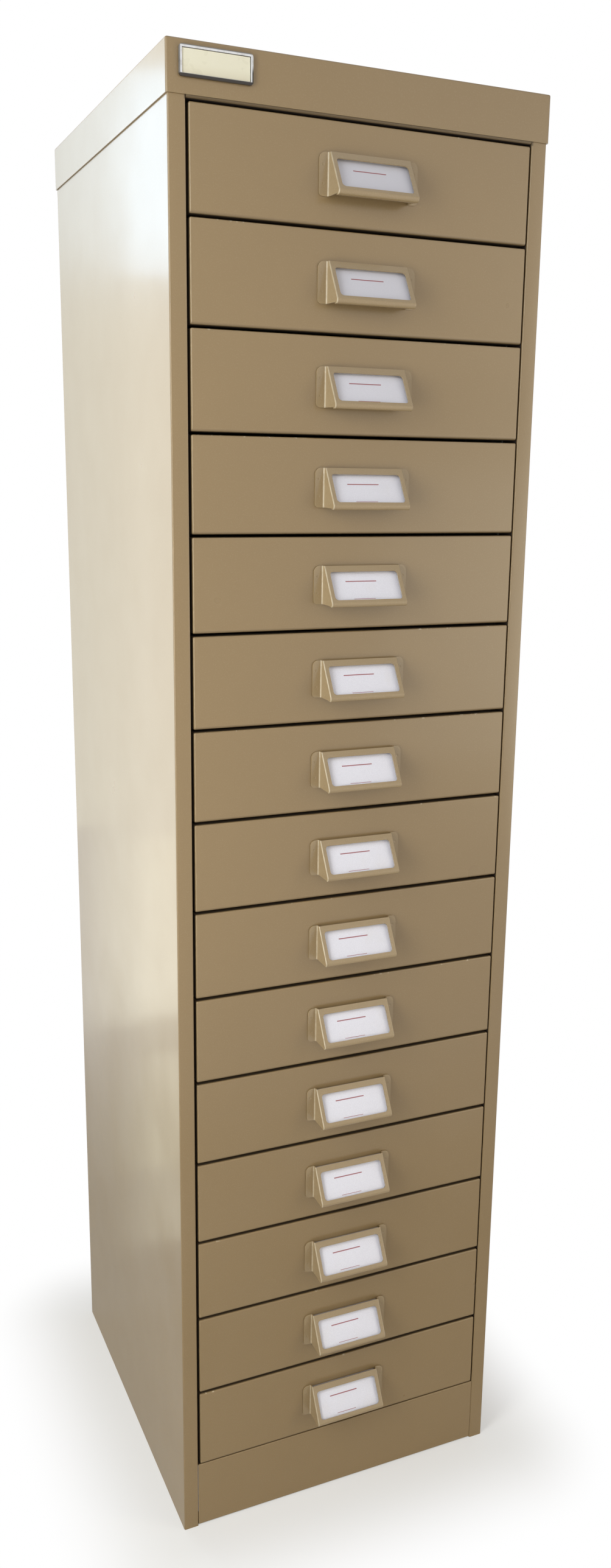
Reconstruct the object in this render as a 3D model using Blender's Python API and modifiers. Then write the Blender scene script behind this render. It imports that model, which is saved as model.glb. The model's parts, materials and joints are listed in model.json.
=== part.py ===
"""Tall multi-drawer filing cabinet: fifteen shallow steel trays in one folded steel case.

Metres, +Z up. The case stands on z = 0 and the drawer fronts face -Y. The origin lies on
the floor, under the middle of the box that holds the whole cabinet with its pulls.
"""
import math

import bmesh
import bpy
from mathutils import Matrix, Vector

# Case
CASE_WIDTH = 0.336
CASE_DEPTH = 0.3655
CASE_HEIGHT = 1.320
SHEET = 0.0010
SEAT_GAP = 0.0003
CASE_BEND = 0.0012
STILE_WIDTH = 0.0145
STILE_RETURN = 0.024
BACK_FLANGE = 0.0145
FLOOR_FLANGE = 0.0145
CAP_HEIGHT = 0.038
CAP_BEND = 0.0016

# Drawers
DRAWER_COUNT = 15
LOWEST_FOOT = 0.070
DRAWER_SEAM = 0.0023
DRAWER_SHIFT = 0.0006
FRONT_TOP_GAP = 0.0018
FRONT_SIDE_GAP = 0.0019
FRONT_RETURN = 0.013
FRONT_BEND = 0.0013
FRONT_FOOT_BEND = 0.0025
TRAY_INSET = 0.010
TRAY_LIFT = 0.004
TRAY_LENGTH = 0.350
TRAY_BEND = 0.0020
TRAY_BACK_DROP = 0.004
RIM_WIDTH = 0.008
RIM_DROP = 0.0164

# Runner frames
RIM_CLEARANCE = 0.0025
RUNNER_FLANGE = 0.012

# Base, plinth and header
PLINTH_SEAM = 0.0005
PLINTH_LIFT = 0.0008
PLINTH_SETBACK = 0.0004
PLINTH_FOOT_RETURN = 0.015
BASE_DROP = 0.0025
BASE_FLANGE = 0.020
HEADER_DROP = 0.002
HEADER_BEND = 0.0028
BACK_PANEL_LIFT = 0.002

# Wedge pulls with their card windows
PULL_WIDTH = 0.072
PULL_HEIGHT = 0.0325
PULL_DROP = 0.024
PULL_TOP_REACH = 0.004
PULL_FOOT_REACH = 0.0215
PULL_FOOT_DROP = 0.0015
PULL_SHEET = 0.0010
PULL_ROLL = 0.003
PULL_LIP = 0.004
PULL_EDGE = 0.0011
FLANGE_WIDTH = 0.008
FLANGE_TOP_RADIUS = 0.005
FLANGE_FOOT_RADIUS = 0.003
WINDOW_WIDTH = 0.064
WINDOW_HEIGHT = 0.0265
WINDOW_RADIUS = 0.003
WINDOW_TOP_MARGIN = 0.0055

# Cards
CARD_THICKNESS = 0.0006
CARD_HEIGHT = 0.036
CARD_SIDE_CLEARANCE = 0.0007
CARD_SEAT_ANGLE = math.radians(222.0)

# Badge on the cap
BADGE_WIDTH = 0.0592
BADGE_HEIGHT = 0.0219
BADGE_THICKNESS = 0.0024
BADGE_BORDER = 0.0022
BADGE_RADIUS = 0.0022
BADGE_EDGE = 0.0006
BADGE_SIDE_MARGIN = 0.0085
BADGE_TOP_MARGIN = 0.0047
BADGE_PLATE_RECESS = 0.0008

# Modelling helpers
OVERRUN = 0.004
WELD_DISTANCE = 0.00001
BEND_SEGMENTS = 2
ROLL_SEGMENTS = 5
CORNER_SEGMENTS = 3

# Places worked out from the sizes above
CAP_LAP = SEAT_GAP + SHEET
FRONT_Y = (SEAT_GAP + PULL_FOOT_REACH - CASE_DEPTH - CAP_LAP) / 2
BACK_Y = FRONT_Y + CASE_DEPTH
SIDE_X = CASE_WIDTH / 2
STILE_X = SIDE_X - STILE_WIDTH
CAP_FOOT_Z = CASE_HEIGHT - CAP_HEIGHT
CASE_TOP_Z = CASE_HEIGHT - CAP_BEND - SEAT_GAP
HEADER_FOOT_Z = CAP_FOOT_Z - HEADER_DROP
FIRST_TOP_Z = HEADER_FOOT_Z - FRONT_TOP_GAP
DRAWER_PITCH = (FIRST_TOP_Z + DRAWER_SEAM - LOWEST_FOOT) / DRAWER_COUNT
FRONT_HEIGHT = DRAWER_PITCH - DRAWER_SEAM
FRONT_X = STILE_X - FRONT_SIDE_GAP
TRAY_X = FRONT_X - TRAY_INSET
RIM_FOOT = FRONT_HEIGHT - RIM_DROP
BASE_TOP_Z = LOWEST_FOOT - BASE_DROP
RUNNER_X = STILE_X - SEAT_GAP
BACK_PANEL_Y = BACK_Y - SHEET - SEAT_GAP


def clear_scene():
    """Start from an empty scene."""
    for old in list(bpy.data.objects):
        bpy.data.objects.remove(old, do_unlink=True)


def new_collection(name):
    """Make a collection and link it to the scene."""
    collection = bpy.data.collections.new(name)
    bpy.context.scene.collection.children.link(collection)
    return collection


def new_material(name, colour, roughness, metallic):
    """Make a plain surface finish."""
    material = bpy.data.materials.new(name)
    material.use_nodes = True
    shader = material.node_tree.nodes["Principled BSDF"]
    shader.inputs["Base Color"].default_value = (*colour, 1.0)
    shader.inputs["Roughness"].default_value = roughness
    shader.inputs["Metallic"].default_value = metallic
    return material


def add_object(name, mesh, collection):
    """Put a mesh in the scene as a named object."""
    item = bpy.data.objects.new(name, mesh)
    collection.objects.link(item)
    return item


def set_material(item, material):
    """Give an object's mesh one material."""
    item.data.materials.clear()
    item.data.materials.append(material)


def arc(centre, radius, start, end, segments):
    """Points on a circle from one angle to another, both ends included."""
    step = (end - start) / segments
    return [
        Vector((centre[0] + radius * math.cos(start + step * i), centre[1] + radius * math.sin(start + step * i)))
        for i in range(segments + 1)
    ]


def rounded_path(corners, radius, segments=BEND_SEGMENTS):
    """An open path whose inner corners are bends of one radius."""
    points = [Vector(corners[0])]
    for before, corner, after in zip(corners, corners[1:], corners[2:]):
        corner = Vector(corner)
        to_before = (Vector(before) - corner).normalized()
        to_after = (Vector(after) - corner).normalized()
        half_angle = to_before.angle(to_after) / 2
        centre = corner + (to_before + to_after).normalized() * radius / math.sin(half_angle)
        start = corner + to_before * radius / math.tan(half_angle)
        end = corner + to_after * radius / math.tan(half_angle)
        first = math.atan2(start.y - centre.y, start.x - centre.x)
        turn = math.atan2(end.y - centre.y, end.x - centre.x) - first
        turn = (turn + math.pi) % math.tau - math.pi
        points += arc(centre, radius, first, first + turn, segments)
    points.append(Vector(corners[-1]))
    return points


def folded_sheet(name, path, low, high, place, thickness, collection):
    """A sheet bent along a path and drawn out from low to high.

    place turns (along, across, out) into a point of the model. The path is the sheet's outer
    face: its thickness lies on the left in plan and side views, and on the right in front views.
    """
    work = bmesh.new()
    ends = [[work.verts.new(place(p[0], p[1], level)) for p in path] for level in (low, high)]
    for i in range(len(path) - 1):
        work.faces.new((ends[0][i], ends[0][i + 1], ends[1][i + 1], ends[1][i]))
    mesh = bpy.data.meshes.new(name)
    work.to_mesh(mesh)
    work.free()
    item = add_object(name, mesh, collection)
    shell = item.modifiers.new("sheet", "SOLIDIFY")
    shell.thickness = thickness
    shell.offset = -1.0
    shell.use_even_offset = True
    return item


def along_z(x, y, z):
    """Paths drawn in plan, sheets standing up."""
    return (x, y, z)


def along_y(x, z, y):
    """Paths drawn from the front, sheets running back."""
    return (x, y, z)


def along_x(y, z, x):
    """Paths drawn from the side, sheets running across."""
    return (x, y, z)


def block(name, low, high, collection):
    """A box between two corners."""
    size = Vector(high) - Vector(low)
    middle = (Vector(high) + Vector(low)) / 2
    work = bmesh.new()
    bmesh.ops.create_cube(work, size=1.0, matrix=Matrix.Translation(middle) @ Matrix.Diagonal((*size, 1.0)))
    mesh = bpy.data.meshes.new(name)
    work.to_mesh(mesh)
    work.free()
    return add_object(name, mesh, collection)


def pan(name, low, high, open_normal, bend, foot_bend, thickness, collection):
    """A folded pan: a box of sheet with one side open and its edges bent.

    The lowest edges that run across have a bend of their own.
    """
    item = block(name, low, high, collection)
    work = bmesh.new()
    work.from_mesh(item.data)
    facing = [face for face in work.faces if face.normal.dot(Vector(open_normal)) > math.cos(math.pi / 4)]
    bmesh.ops.delete(work, geom=facing, context="FACES_ONLY")
    widest = max(bend, foot_bend)
    middle_z = (low[2] + high[2]) / 2
    weights = work.edges.layers.float.new("bevel_weight_edge")
    for edge in work.edges:
        start, end = (vertex.co for vertex in edge.verts)
        at_foot = max(start.z, end.z) < middle_z and start.x != end.x
        edge[weights] = (foot_bend if at_foot else bend) / widest
    work.to_mesh(item.data)
    work.free()
    edges = item.modifiers.new("bends", "BEVEL")
    edges.width = widest
    edges.segments = BEND_SEGMENTS
    edges.limit_method = "WEIGHT"
    shell = item.modifiers.new("sheet", "SOLIDIFY")
    shell.thickness = thickness
    shell.offset = -1.0
    shell.use_even_offset = True
    return item


def evaluated_mesh(item):
    """An object's mesh with its modifiers applied."""
    graph = bpy.context.evaluated_depsgraph_get()
    graph.update()
    return bpy.data.meshes.new_from_object(item.evaluated_get(graph))


def plate(name, outline, thickness, place, collection):
    """A flat outline with a thickness, centred on its own plane and then placed."""
    curve = bpy.data.curves.new(name, "CURVE")
    curve.dimensions = "2D"
    curve.fill_mode = "BOTH"
    curve.extrude = thickness / 2
    spline = curve.splines.new("POLY")
    spline.points.add(len(outline) - 1)
    for point, corner in zip(spline.points, outline):
        point.co = (corner[0], corner[1], 0, 1)
    spline.use_cyclic_u = True
    drawing = add_object(name + "_outline", curve, collection)
    mesh = evaluated_mesh(drawing)
    bpy.data.objects.remove(drawing, do_unlink=True)
    work = bmesh.new()
    work.from_mesh(mesh)
    bmesh.ops.remove_doubles(work, verts=work.verts, dist=WELD_DISTANCE)
    bmesh.ops.transform(work, matrix=place, verts=work.verts)
    bmesh.ops.recalc_face_normals(work, faces=work.faces)
    work.to_mesh(mesh)
    work.free()
    mesh.name = name
    return add_object(name, mesh, collection)


def frame_from(x_axis, y_axis, origin):
    """A placing matrix from two axes and an origin."""
    x_axis = Vector(x_axis).normalized()
    y_axis = Vector(y_axis).normalized()
    z_axis = x_axis.cross(y_axis)
    turn = Matrix((x_axis, y_axis, z_axis)).transposed().to_4x4()
    return Matrix.Translation(Vector(origin)) @ turn


def combine(item, others, operation):
    """Join or cut an object with others, and hide the others as guides."""
    for other in others:
        change = item.modifiers.new(operation.lower(), "BOOLEAN")
        change.operation = operation
        change.solver = "EXACT"
        change.object = other
        other.hide_render = True
        other.display_type = "WIRE"
    return item


def settle(item, guides):
    """Apply an object's modifiers to its mesh, and drop the guides that shaped it."""
    mesh = evaluated_mesh(item)
    mesh.name = item.name
    item.modifiers.clear()
    item.data = mesh
    for guide in guides:
        bpy.data.objects.remove(guide, do_unlink=True)
    return item


def rounded_rectangle(width, height, radii):
    """A centred rectangle with its own radius at each corner, from the lower left on."""
    half_w = width / 2
    half_h = height / 2
    signs = ((-1, -1), (1, -1), (1, 1), (-1, 1))
    points = []
    for quarter, (sign, radius) in enumerate(zip(signs, radii)):
        if radius == 0:
            points.append(Vector((sign[0] * half_w, sign[1] * half_h)))
            continue
        centre = (sign[0] * (half_w - radius), sign[1] * (half_h - radius))
        start = math.pi + quarter * math.pi / 2
        points += arc(centre, radius, start, start + math.pi / 2, CORNER_SEGMENTS)
    return points


def tangent_point(centre, radius, outside, turn):
    """Where a line from an outside point touches a circle; turn picks the side."""
    away = outside - centre
    swing = turn * math.acos(radius / away.length)
    direction = math.atan2(away.y, away.x) + swing
    return centre + radius * Vector((math.cos(direction), math.sin(direction)))


def pull_profile():
    """The pull's side outline in (y, z), measured from its foot on the drawer front."""
    roll = Vector((PULL_ROLL - PULL_FOOT_REACH, PULL_ROLL - PULL_FOOT_DROP))
    brow = Vector((-PULL_TOP_REACH, PULL_HEIGHT))
    heel = Vector((0, 0))
    face_end = tangent_point(roll, PULL_ROLL, brow, 1)
    lip_start = tangent_point(roll, PULL_ROLL, heel, -1)
    return roll, brow, heel, face_end, lip_start


def roll_arc(roll, face_end, lip_start, radius):
    """The rolled foot of the pull, from the face round to the lip."""
    start = math.atan2(face_end.y - roll.y, face_end.x - roll.x) % math.tau
    end = math.atan2(lip_start.y - roll.y, lip_start.x - roll.x) % math.tau
    return arc(roll, radius, start, end, ROLL_SEGMENTS)


def pull_solid(collection, guides):
    """The pressed pull: wedge, side walls, rolled lip, window and two rounded flanges."""
    roll, brow, heel, face_end, lip_start = pull_profile()
    across = frame_from((0, 1, 0), (0, 0, 1), (0, 0, 0))

    outer = [Vector((0, PULL_HEIGHT)), brow, *roll_arc(roll, face_end, lip_start, PULL_ROLL), heel]
    wedge = plate("pull", outer, PULL_WIDTH, across, collection)
    edges = wedge.modifiers.new("pressed_edges", "BEVEL")
    edges.width = PULL_EDGE
    edges.segments = BEND_SEGMENTS
    edges.limit_method = "ANGLE"
    edges.angle_limit = math.radians(80.0)

    up_face = (brow - face_end).normalized()
    inward = (roll - face_end).normalized()
    back = (heel - lip_start).normalized()
    inside_lip = (roll - lip_start).normalized() * PULL_SHEET
    tip = lip_start + back * PULL_LIP
    inner = [
        Vector((OVERRUN, PULL_HEIGHT + OVERRUN)),
        brow + inward * PULL_SHEET + up_face * OVERRUN,
        *roll_arc(roll, face_end, lip_start, PULL_ROLL - PULL_SHEET),
        tip + inside_lip,
        tip - inside_lip,
        Vector((OVERRUN, -OVERRUN)),
    ]
    hollow = plate("pull_hollow", inner, PULL_WIDTH - 2 * PULL_SHEET, across, guides)

    window_middle = brow - up_face * (WINDOW_TOP_MARGIN + WINDOW_HEIGHT / 2)
    window_place = frame_from(
        (1, 0, 0), (0, up_face.x, up_face.y), (0, window_middle.x, window_middle.y)
    )
    window_outline = rounded_rectangle(WINDOW_WIDTH, WINDOW_HEIGHT, [WINDOW_RADIUS] * 4)
    window = plate("pull_window", window_outline, PULL_SHEET * 2 + OVERRUN, window_place, guides)

    flanges = []
    for side in (-1, 1):
        outer_radii = [FLANGE_FOOT_RADIUS, 0, 0, FLANGE_TOP_RADIUS]
        inner_radii = [0, FLANGE_FOOT_RADIUS, FLANGE_TOP_RADIUS, 0]
        outline = rounded_rectangle(
            FLANGE_WIDTH + PULL_SHEET / 2, PULL_HEIGHT, outer_radii if side < 0 else inner_radii
        )
        middle_x = side * (PULL_WIDTH - PULL_SHEET / 2 + FLANGE_WIDTH) / 2
        place = frame_from((1, 0, 0), (0, 0, 1), (middle_x, -PULL_SHEET / 2, PULL_HEIGHT / 2))
        flanges.append(plate("pull_flange", outline, PULL_SHEET, place, guides))

    combine(wedge, flanges, "UNION")
    combine(wedge, [hollow, window], "DIFFERENCE")
    return settle(wedge, [*flanges, hollow, window])


def card_solid(collection):
    """The card: it stands in the rolled foot and leans back on the drawer front."""
    roll = pull_profile()[0]
    seat = PULL_ROLL - PULL_SHEET - SEAT_GAP
    foot = roll + seat * Vector((math.cos(CARD_SEAT_ANGLE), math.sin(CARD_SEAT_ANGLE)))
    diagonal = math.hypot(CARD_HEIGHT, CARD_THICKNESS)
    lean = math.asin(-foot.x / diagonal) - math.atan2(CARD_THICKNESS, CARD_HEIGHT)
    half_width = PULL_WIDTH / 2 - PULL_SHEET - CARD_SIDE_CLEARANCE
    card = block("card", (-half_width, 0, 0), (half_width, CARD_THICKNESS, CARD_HEIGHT), collection)
    place = Matrix.Translation((0, foot.x, foot.y)) @ Matrix.Rotation(-lean, 4, "X")
    card.data.transform(place)
    return card


def drawer_solid(collection, guides):
    """One drawer: a pan front, and a tray whose sides turn out into the running rims."""
    front = pan(
        "drawer",
        (-FRONT_X, 0, 0),
        (FRONT_X, FRONT_RETURN, FRONT_HEIGHT),
        (0, 1, 0),
        FRONT_BEND,
        FRONT_FOOT_BEND,
        SHEET,
        collection,
    )
    corners = [
        (TRAY_X + RIM_WIDTH, RIM_FOOT),
        (TRAY_X, RIM_FOOT),
        (TRAY_X, TRAY_LIFT),
        (-TRAY_X, TRAY_LIFT),
        (-TRAY_X, RIM_FOOT),
        (-TRAY_X - RIM_WIDTH, RIM_FOOT),
    ]
    path = rounded_path(corners, TRAY_BEND)
    tray = folded_sheet("tray", path, SHEET / 2, TRAY_LENGTH, along_y, SHEET, guides)
    tray = settle(tray, [])
    back = block(
        "tray_back",
        (SHEET / 2 - TRAY_X, TRAY_LENGTH - SHEET - SEAT_GAP, TRAY_LIFT + SHEET / 2),
        (TRAY_X - SHEET / 2, TRAY_LENGTH - SEAT_GAP, RIM_FOOT - TRAY_BACK_DROP),
        guides,
    )
    combine(front, [tray, back], "UNION")
    return settle(front, [tray, back])


def place_drawers(parts, guides, enamel, paper):
    """Hang fifteen drawers, each with its pull and card, on an empty at its slide."""
    drawer_mesh = drawer_solid(guides, guides)
    pull_mesh = pull_solid(guides, guides)
    card_mesh = card_solid(guides)
    set_material(drawer_mesh, enamel)
    set_material(pull_mesh, enamel)
    set_material(card_mesh, paper)
    pull_foot = FRONT_HEIGHT - PULL_DROP - PULL_HEIGHT
    for number in range(1, DRAWER_COUNT + 1):
        top = FIRST_TOP_Z - (number - 1) * DRAWER_PITCH
        slide = bpy.data.objects.new(f"drawer_{number:02d}_slide", None)
        slide.location = (DRAWER_SHIFT, FRONT_Y, top - FRONT_HEIGHT)
        parts.objects.link(slide)
        for kind, source, shift in (
            ("drawer", drawer_mesh, (0, 0, 0)),
            ("pull", pull_mesh, (0, -SEAT_GAP, pull_foot)),
            ("card", card_mesh, (0, -SEAT_GAP, pull_foot)),
        ):
            copy = add_object(f"{kind}_{number:02d}", source.data, parts)
            copy.parent = slide
            copy.location = shift
    for source in (drawer_mesh, pull_mesh, card_mesh):
        bpy.data.objects.remove(source, do_unlink=True)


def side_panel(name, side, parts, guides, enamel):
    """A case side with its front stile, the stile's return, the back flange and a floor flange."""
    corners = [
        (side * STILE_X, FRONT_Y + STILE_RETURN),
        (side * STILE_X, FRONT_Y),
        (side * SIDE_X, FRONT_Y),
        (side * SIDE_X, BACK_Y),
        (side * (SIDE_X - BACK_FLANGE), BACK_Y),
    ]
    path = rounded_path(corners, CASE_BEND)
    if side < 0:
        path.reverse()
    panel = settle(folded_sheet(name, path, 0, CASE_TOP_Z, along_z, SHEET, parts), [])
    reach = sorted((side * (SIDE_X - SHEET / 2), side * (SIDE_X - FLOOR_FLANGE)))
    flange = block(
        name + "_floor_flange",
        (reach[0], FRONT_Y + CASE_BEND + SEAT_GAP, 0),
        (reach[1], BACK_Y - CASE_BEND - SEAT_GAP, SHEET),
        guides,
    )
    combine(panel, [flange], "UNION")
    settle(panel, [flange])
    set_material(panel, enamel)


def back_panel(parts, enamel):
    """The back sheet, inside the back flanges of the sides and clear of their bends."""
    half = SIDE_X - CASE_BEND - SEAT_GAP
    panel = block(
        "back_panel",
        (-half, BACK_PANEL_Y - SHEET, BACK_PANEL_LIFT),
        (half, BACK_PANEL_Y, CASE_TOP_Z),
        parts,
    )
    set_material(panel, enamel)


def top_cap(parts, enamel):
    """The lid: a pan turned down over the case, with soft bends."""
    cap = pan(
        "top_cap",
        (-SIDE_X - CAP_LAP, FRONT_Y - CAP_LAP, CAP_FOOT_Z),
        (SIDE_X + CAP_LAP, BACK_Y + CAP_LAP, CASE_HEIGHT),
        (0, 0, -1),
        CAP_BEND,
        CAP_BEND,
        SHEET,
        parts,
    )
    set_material(cap, enamel)


def front_rail(name, low, high, face_y, returns, bend, parts, enamel):
    """A rail folded like a channel between the stiles, open to the back."""
    corners = [
        (face_y + returns[1], high),
        (face_y, high),
        (face_y, low),
        (face_y + returns[0], low),
    ]
    path = rounded_path(corners, bend)
    rail = folded_sheet(name, path, SEAT_GAP - STILE_X, STILE_X - SEAT_GAP, along_x, SHEET, parts)
    set_material(rail, enamel)


def base_pan(parts, enamel):
    """The floor of the case: a pan turned down under the lowest drawer."""
    half = SIDE_X - SHEET - SEAT_GAP
    base = pan(
        "base_pan",
        (-half, FRONT_Y + STILE_RETURN + SEAT_GAP, BASE_TOP_Z - BASE_FLANGE),
        (half, BACK_PANEL_Y - SHEET - SEAT_GAP, BASE_TOP_Z),
        (0, 0, -1),
        TRAY_BEND,
        TRAY_BEND,
        SHEET,
        parts,
    )
    set_material(base, enamel)


def runner_outline():
    """The right runner frame's section: an upright sheet with a pair of ledges for each drawer."""
    inner = RUNNER_X - SHEET
    tip = TRAY_X + TRAY_BEND + DRAWER_SHIFT
    foot_z = BASE_TOP_Z + SEAT_GAP
    points = [(RUNNER_X, CASE_TOP_Z), (RUNNER_X, foot_z), (inner, foot_z)]
    for number in range(DRAWER_COUNT, 0, -1):
        foot = FIRST_TOP_Z - (number - 1) * DRAWER_PITCH - FRONT_HEIGHT
        ledge_top = foot + RIM_FOOT - SEAT_GAP
        keeper_foot = foot + RIM_FOOT + SHEET + RIM_CLEARANCE
        for low, high in ((ledge_top - SHEET, ledge_top), (keeper_foot, keeper_foot + SHEET)):
            points += [(inner, low), (tip, low), (tip, high), (inner, high)]
    points.append((inner, CASE_TOP_Z))
    return points


def runner_frame(name, side, parts, guides, steel):
    """A side frame with fifteen channels for the drawer rims, between stile return and back."""
    start = FRONT_Y + STILE_RETURN + SEAT_GAP
    rear = BACK_PANEL_Y - SHEET - SEAT_GAP
    mirror = Matrix.Diagonal((side, 1, 1, 1))
    place = mirror @ frame_from((1, 0, 0), (0, 0, 1), (0, (start + rear) / 2, 0))
    frame = plate(name, runner_outline(), rear - start, place, parts)
    reach = sorted((side * (RUNNER_X - SHEET / 2), side * (RUNNER_X + RUNNER_FLANGE)))
    flanges = [
        block(
            name + "_flange",
            (reach[0], low_y, BASE_TOP_Z + SEAT_GAP),
            (reach[1], low_y + SHEET, CASE_TOP_Z),
            guides,
        )
        for low_y in (start, rear - SHEET)
    ]
    combine(frame, flanges, "UNION")
    settle(frame, flanges)
    set_material(frame, steel)


def badge(parts, guides, chrome, cream):
    """A bright frame round a bare plate, on the cap's front."""
    middle_x = BADGE_SIDE_MARGIN + BADGE_WIDTH / 2 - SIDE_X
    middle_z = CASE_HEIGHT - BADGE_TOP_MARGIN - BADGE_HEIGHT / 2
    back_y = FRONT_Y - CAP_LAP - SEAT_GAP
    outline = rounded_rectangle(BADGE_WIDTH, BADGE_HEIGHT, [BADGE_RADIUS] * 4)
    place = frame_from((1, 0, 0), (0, 0, 1), (middle_x, back_y - BADGE_THICKNESS / 2, middle_z))
    ring = plate("badge_frame", outline, BADGE_THICKNESS, place, parts)
    edges = ring.modifiers.new("edges", "BEVEL")
    edges.width = BADGE_EDGE
    edges.segments = BEND_SEGMENTS
    edges.limit_method = "ANGLE"
    edges.angle_limit = math.radians(80.0)
    hole_size = (BADGE_WIDTH - 2 * BADGE_BORDER, BADGE_HEIGHT - 2 * BADGE_BORDER)
    hole = block(
        "badge_hole",
        (middle_x - hole_size[0] / 2, back_y - BADGE_THICKNESS - OVERRUN, middle_z - hole_size[1] / 2),
        (middle_x + hole_size[0] / 2, back_y + OVERRUN, middle_z + hole_size[1] / 2),
        guides,
    )
    combine(ring, [hole], "DIFFERENCE")
    settle(ring, [hole])
    set_material(ring, chrome)
    face = block(
        "badge_plate",
        (
            middle_x - hole_size[0] / 2 + SEAT_GAP,
            back_y - BADGE_THICKNESS + BADGE_PLATE_RECESS,
            middle_z - hole_size[1] / 2 + SEAT_GAP,
        ),
        (middle_x + hole_size[0] / 2 - SEAT_GAP, back_y, middle_z + hole_size[1] / 2 - SEAT_GAP),
        parts,
    )
    set_material(face, cream)


def build():
    """Build the whole cabinet."""
    clear_scene()
    parts = new_collection("multi_drawer_cabinet")
    guides = new_collection("cutters")
    enamel = new_material("beige_enamel", (0.34, 0.25, 0.14), 0.32, 0.0)
    steel = new_material("runner_steel", (0.22, 0.20, 0.17), 0.45, 0.6)
    paper = new_material("card_paper", (0.80, 0.79, 0.82), 0.85, 0.0)
    chrome = new_material("bright_chrome", (0.80, 0.80, 0.80), 0.12, 1.0)
    cream = new_material("cream_plate", (0.62, 0.56, 0.40), 0.40, 0.0)

    side_panel("left_side_panel", -1, parts, guides, enamel)
    side_panel("right_side_panel", 1, parts, guides, enamel)
    back_panel(parts, enamel)
    top_cap(parts, enamel)
    base_pan(parts, enamel)
    front_rail(
        "plinth",
        PLINTH_LIFT,
        LOWEST_FOOT - PLINTH_SEAM,
        FRONT_Y + PLINTH_SETBACK,
        (PLINTH_FOOT_RETURN, STILE_RETURN - PLINTH_SETBACK),
        CASE_BEND,
        parts,
        enamel,
    )
    front_rail(
        "header_rail",
        HEADER_FOOT_Z,
        CASE_HEIGHT - SHEET - SEAT_GAP,
        FRONT_Y,
        (STILE_RETURN, STILE_RETURN),
        HEADER_BEND,
        parts,
        enamel,
    )
    runner_frame("left_runner_frame", -1, parts, guides, steel)
    runner_frame("right_runner_frame", 1, parts, guides, steel)
    badge(parts, guides, chrome, cream)
    place_drawers(parts, guides, enamel, paper)


build()
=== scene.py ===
"""Looks for the tall multi-drawer filing cabinet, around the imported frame. Metres, +Z up, fronts to -Y."""
import json
import math

import bmesh
import bpy
from mathutils import Matrix, Vector

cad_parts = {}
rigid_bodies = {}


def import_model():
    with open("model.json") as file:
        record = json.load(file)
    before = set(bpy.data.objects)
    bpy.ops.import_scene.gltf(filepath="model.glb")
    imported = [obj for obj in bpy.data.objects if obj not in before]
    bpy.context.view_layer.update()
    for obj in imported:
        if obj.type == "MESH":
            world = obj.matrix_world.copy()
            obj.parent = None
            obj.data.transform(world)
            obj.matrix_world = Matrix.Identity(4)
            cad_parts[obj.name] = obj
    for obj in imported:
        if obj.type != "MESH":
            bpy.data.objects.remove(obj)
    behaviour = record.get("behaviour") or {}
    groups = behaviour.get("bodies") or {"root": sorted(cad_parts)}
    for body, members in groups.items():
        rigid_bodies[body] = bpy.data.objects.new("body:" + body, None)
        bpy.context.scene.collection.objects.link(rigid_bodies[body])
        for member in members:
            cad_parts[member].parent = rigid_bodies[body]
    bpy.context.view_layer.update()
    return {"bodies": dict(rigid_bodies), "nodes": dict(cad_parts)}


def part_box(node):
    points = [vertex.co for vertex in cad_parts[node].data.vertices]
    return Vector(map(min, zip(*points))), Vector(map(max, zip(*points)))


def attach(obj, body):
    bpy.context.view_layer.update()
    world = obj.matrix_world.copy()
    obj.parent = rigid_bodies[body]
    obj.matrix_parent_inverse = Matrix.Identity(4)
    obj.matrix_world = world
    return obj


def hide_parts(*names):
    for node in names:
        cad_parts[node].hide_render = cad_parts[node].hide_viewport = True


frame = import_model()

# Camera, fitted to the photograph's corners and seams
IMAGE_LONG_SIDE = 2576
CAMERA_FOCAL_PIXELS = 2080.51
CAMERA_SENSOR = 36.0
CAMERA_CLIP = (0.05, 60.0)
CAMERA_PLACE = (-0.48435, -1.16656, 0.99999)
CAMERA_FORWARD = (0.39068769, 0.8909101, -0.23160811)
CAMERA_UP = (0.081973, 0.21693355, 0.97273854)

# The pressed pull, in the source's own sizes
PULL_WIDTH = 0.072
PULL_HEIGHT = 0.0325
PULL_TOP_REACH = 0.004
PULL_FOOT_REACH = 0.0215
PULL_FOOT_DROP = 0.0015
PULL_SHEET = 0.001
PULL_ROLL = 0.003
PULL_LIP = 0.004
PULL_EDGE = 0.0011
FLANGE_WIDTH = 0.008
FLANGE_TOP_RADIUS = 0.005
FLANGE_FOOT_RADIUS = 0.003
WINDOW_WIDTH = 0.064
WINDOW_HEIGHT = 0.0265
WINDOW_RADIUS = 0.003
WINDOW_TOP_MARGIN = 0.0055

# The pressed pull's finer forms, which the scene adds
PULL_FILLET = 0.0012
PULL_RIM = 0.0004
WELD_RADIUS = 0.0013
WELD_DEPTH = 0.00025
WELD_HEIGHTS = (0.0095, 0.0235)
WINDOW_CUT = 0.003
FACE_MIDDLE = (0, -0.02, 0.02)
BEND_STEPS = 4
ROLL_STEPS = 12
CORNER_STEPS = 8
WALL_STEPS = 6
RIM_STEPS = 2
BALL_STEPS = 24
SMOOTH_ANGLE = math.radians(35.0)
BEND_ANGLE = math.radians(55.0)
MERGE_DISTANCE = 0.00001

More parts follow.
